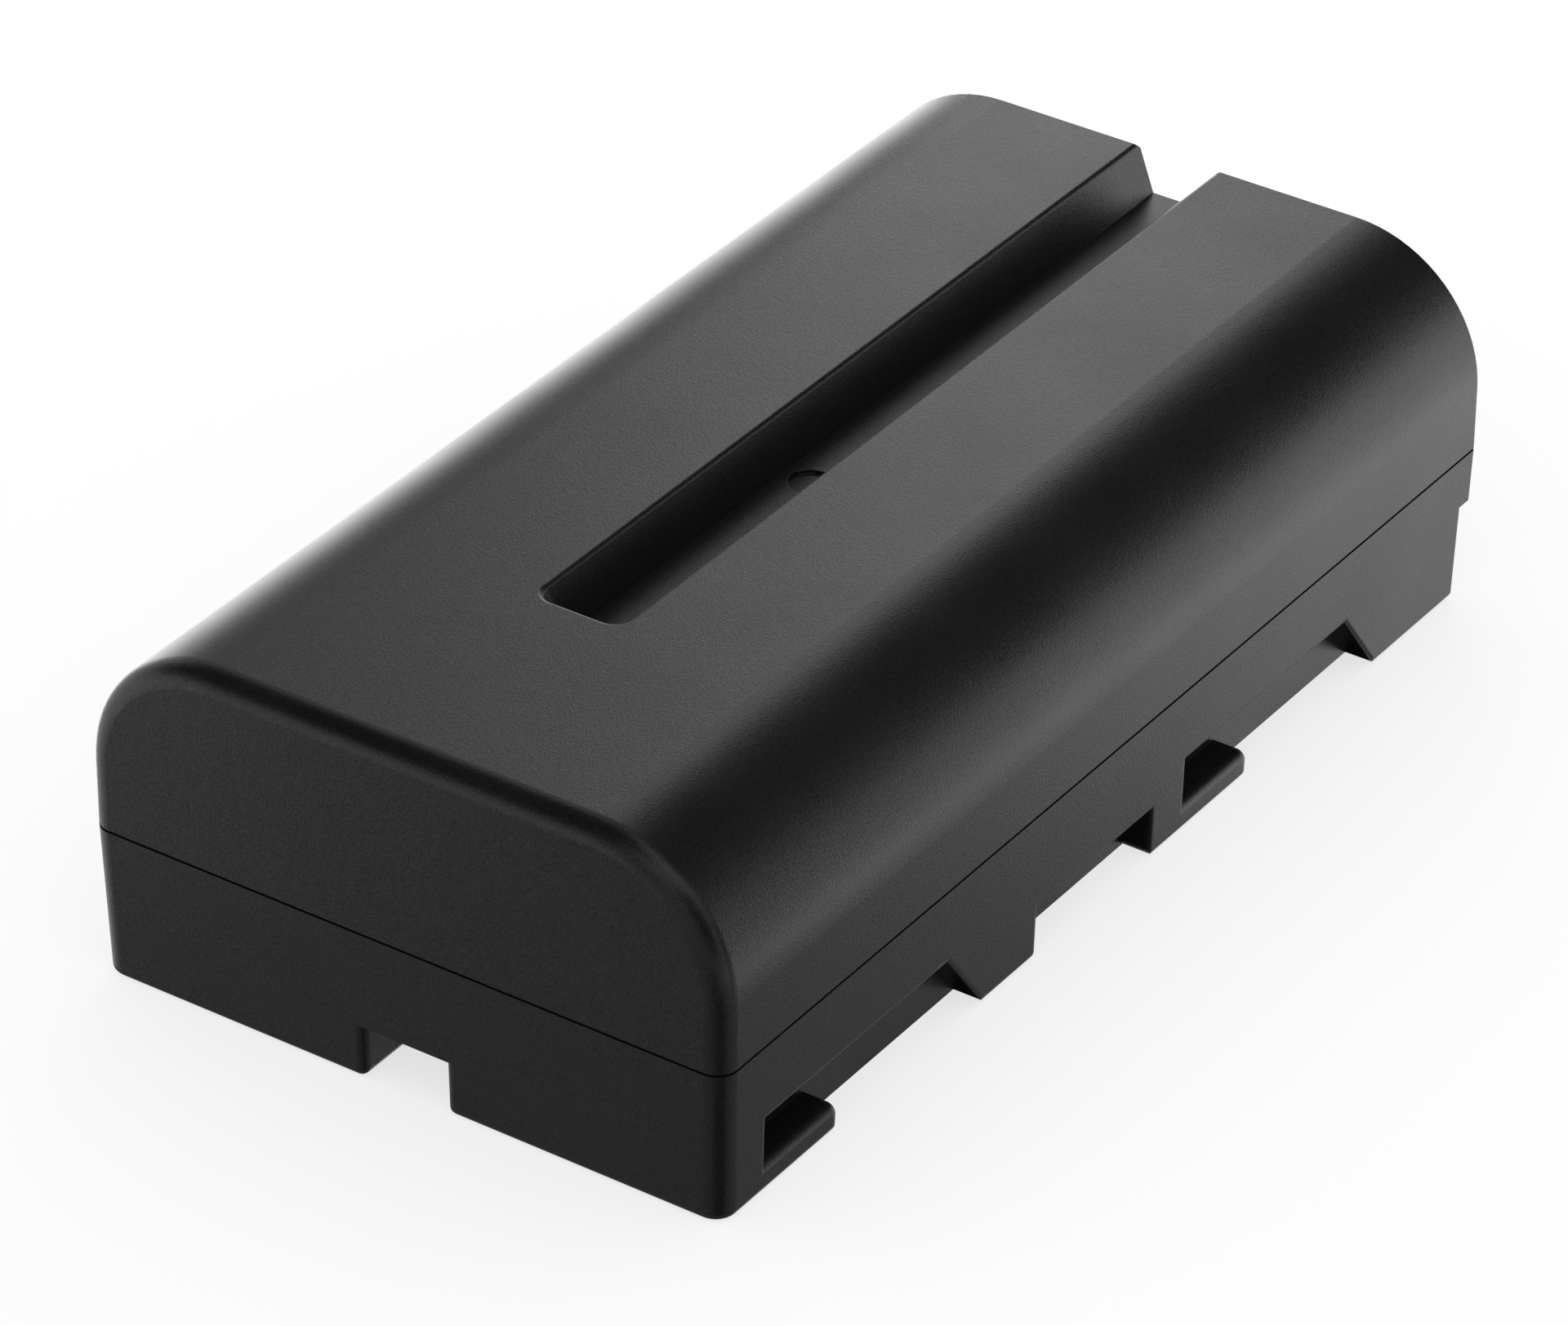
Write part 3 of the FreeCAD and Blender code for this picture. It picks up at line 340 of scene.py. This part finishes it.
def make_finishes():
    """One material for each slot of the record."""
    finishes = {"housing": housing_finish()}
    for slot, values in PLASTICS.items():
        finishes[slot] = plastic_finish(*values)
    for slot, values in METALS.items():
        finishes[slot] = metal_finish(*values)
    return finishes


def dress_nodes(finishes):
    """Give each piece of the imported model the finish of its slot."""
    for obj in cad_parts.values():
        for slot in obj.material_slots:
            finish = finishes[slot.material.name.split(".")[0]]
            slot.link = "OBJECT"
            slot.material = finish


def add_camera():
    """The photograph's camera: in front, to the right and above, with a slight roll."""
    back = Vector((math.sin(AZIMUTH) * math.cos(ELEVATION),
                   -math.cos(AZIMUTH) * math.cos(ELEVATION), math.sin(ELEVATION)))
    level = Vector((math.cos(AZIMUTH), math.sin(AZIMUTH), 0))
    rise = back.cross(level)
    right = math.cos(ROLL) * level + math.sin(ROLL) * rise
    up = math.cos(ROLL) * rise - math.sin(ROLL) * level
    aim = Vector((0, 0, AIM_HEIGHT)) + AIM_ACROSS * right + AIM_UP * up
    data = bpy.data.cameras.new("photo_camera")
    data.sensor_width = SENSOR
    data.lens = LENS
    data.clip_start = CLIP_START
    camera = bpy.data.objects.new("photo_camera", data)
    turn = Matrix((right, up, back)).transposed()
    camera.matrix_world = Matrix.Translation(aim + DISTANCE * back) @ turn.to_4x4()
    bpy.context.scene.collection.objects.link(camera)
    bpy.context.scene.camera = camera


def seen_or_reflected(tree):
    """1 for camera, glossy and transmission rays, 0 for the rays that light the scene."""
    path = tree.nodes.new("ShaderNodeLightPath")
    total = path.outputs["Is Camera Ray"]
    for name in ("Is Glossy Ray", "Is Transmission Ray"):
        node = tree.nodes.new("ShaderNodeMath")
        node.operation = "MAXIMUM"
        tree.links.new(total, node.inputs[0])
        tree.links.new(path.outputs[name], node.inputs[1])
        total = node.outputs["Value"]
    return total


def set_world():
    """White where it is seen or reflected, and a soft grey ambient for the rest."""
    world = bpy.data.worlds.new("studio")
    bpy.context.scene.world = world
    world.use_nodes = True
    tree = world.node_tree
    light = tree.nodes["Background"]
    light.inputs["Color"].default_value = WHITE
    light.inputs["Strength"].default_value = AMBIENT
    white = tree.nodes.new("ShaderNodeBackground")
    white.inputs["Color"].default_value = WHITE
    white.inputs["Strength"].default_value = 1
    mix = tree.nodes.new("ShaderNodeMixShader")
    tree.links.new(seen_or_reflected(tree), mix.inputs["Fac"])
    tree.links.new(light.outputs["Background"], mix.inputs[1])
    tree.links.new(white.outputs["Background"], mix.inputs[2])
    tree.links.new(mix.outputs["Shader"], tree.nodes["World Output"].inputs["Surface"])


def floor_material():
    """Pale floor that melts into the white background but keeps the pack's shadow."""
    material = bpy.data.materials.new("pale_floor")
    material.use_nodes = True
    tree = material.node_tree
    plain = tree.nodes["Principled BSDF"]
    plain.inputs["Base Color"].default_value = FLOOR_COLOUR
    plain.inputs["Roughness"].default_value = FLOOR_ROUGHNESS
    plain.inputs["Specular IOR Level"].default_value = 0.0
    glow = tree.nodes.new("ShaderNodeEmission")
    glow.inputs["Color"].default_value = WHITE
    glow.inputs["Strength"].default_value = FLOOR_GLOW
    shade = tree.nodes.new("ShaderNodeBsdfDiffuse")
    shade.inputs["Color"].default_value = FLOOR_SHADE
    both = tree.nodes.new("ShaderNodeAddShader")
    tree.links.new(glow.outputs["Emission"], both.inputs[0])
    tree.links.new(shade.outputs["BSDF"], both.inputs[1])
    mix = tree.nodes.new("ShaderNodeMixShader")
    tree.links.new(seen_or_reflected(tree), mix.inputs["Fac"])
    tree.links.new(plain.outputs["BSDF"], mix.inputs[1])
    tree.links.new(both.outputs["Shader"], mix.inputs[2])
    tree.links.new(mix.outputs["Shader"], tree.nodes["Material Output"].inputs["Surface"])
    return material


def card_material(name, brightness):
    """A card that reflections show at one brightness."""
    material = bpy.data.materials.new(name)
    material.use_nodes = True
    tree = material.node_tree
    glow = tree.nodes.new("ShaderNodeEmission")
    glow.inputs["Color"].default_value = WHITE
    glow.inputs["Strength"].default_value = brightness
    tree.nodes.remove(tree.nodes["Principled BSDF"])
    tree.links.new(glow.outputs["Emission"], tree.nodes["Material Output"].inputs["Surface"])
    return material


def facing(centre, towards, front):
    """Turn that points an object's front axis from its centre at a place."""
    return (Vector(towards) - Vector(centre)).to_track_quat(front, "Y").to_euler()


def flat_object(name, centre, towards, width, height, material):
    """A flat rectangle that faces a point; its height runs upwards where it can."""
    mesh = bpy.data.meshes.new(name)
    x, y = width / 2, height / 2
    mesh.from_pydata([(-x, -y, 0), (x, -y, 0), (x, y, 0), (-x, y, 0)], [], [(0, 1, 2, 3)])
    mesh.materials.append(material)
    obj = bpy.data.objects.new(name, mesh)
    obj.location = centre
    obj.rotation_euler = facing(centre, towards, "Z")
    bpy.context.scene.collection.objects.link(obj)
    return obj


def add_floor():
    """A wide pale floor under the pack, which reflections pass through."""
    centre = (0, 0, cad_box[0][2] - FLOOR_DROP)
    floor = flat_object("floor", centre, (0, 0, 1), FLOOR_SIZE, FLOOR_SIZE, floor_material())
    floor.visible_glossy = False


def add_lamp(name, centre, towards, width, height, brightness):
    """A soft box behind the pack; at brightness 1 it looks as bright as white paper."""
    data = bpy.data.lights.new(name, "AREA")
    data.shape = "RECTANGLE"
    data.size = width
    data.size_y = height
    data.energy = brightness * width * height * math.pi
    lamp = bpy.data.objects.new(name, data)
    lamp.location = centre
    lamp.rotation_euler = facing(centre, towards, "-Z")
    bpy.context.scene.collection.objects.link(lamp)


def add_card(name, centre, towards, width, height, brightness):
    """A studio card that only reflections see, dark or bright."""
    card = flat_object(name, centre, towards, width, height, card_material(name, brightness))
    card.visible_camera = False
    card.visible_diffuse = False
    card.visible_shadow = False
    card.visible_transmission = False


dress_nodes(make_finishes())
add_camera()
set_world()
add_floor()
add_lamp(*KEY_LIGHT)
for card in CARDS:
    add_card(*card)
bpy.context.scene.view_settings.view_transform = "Standard"
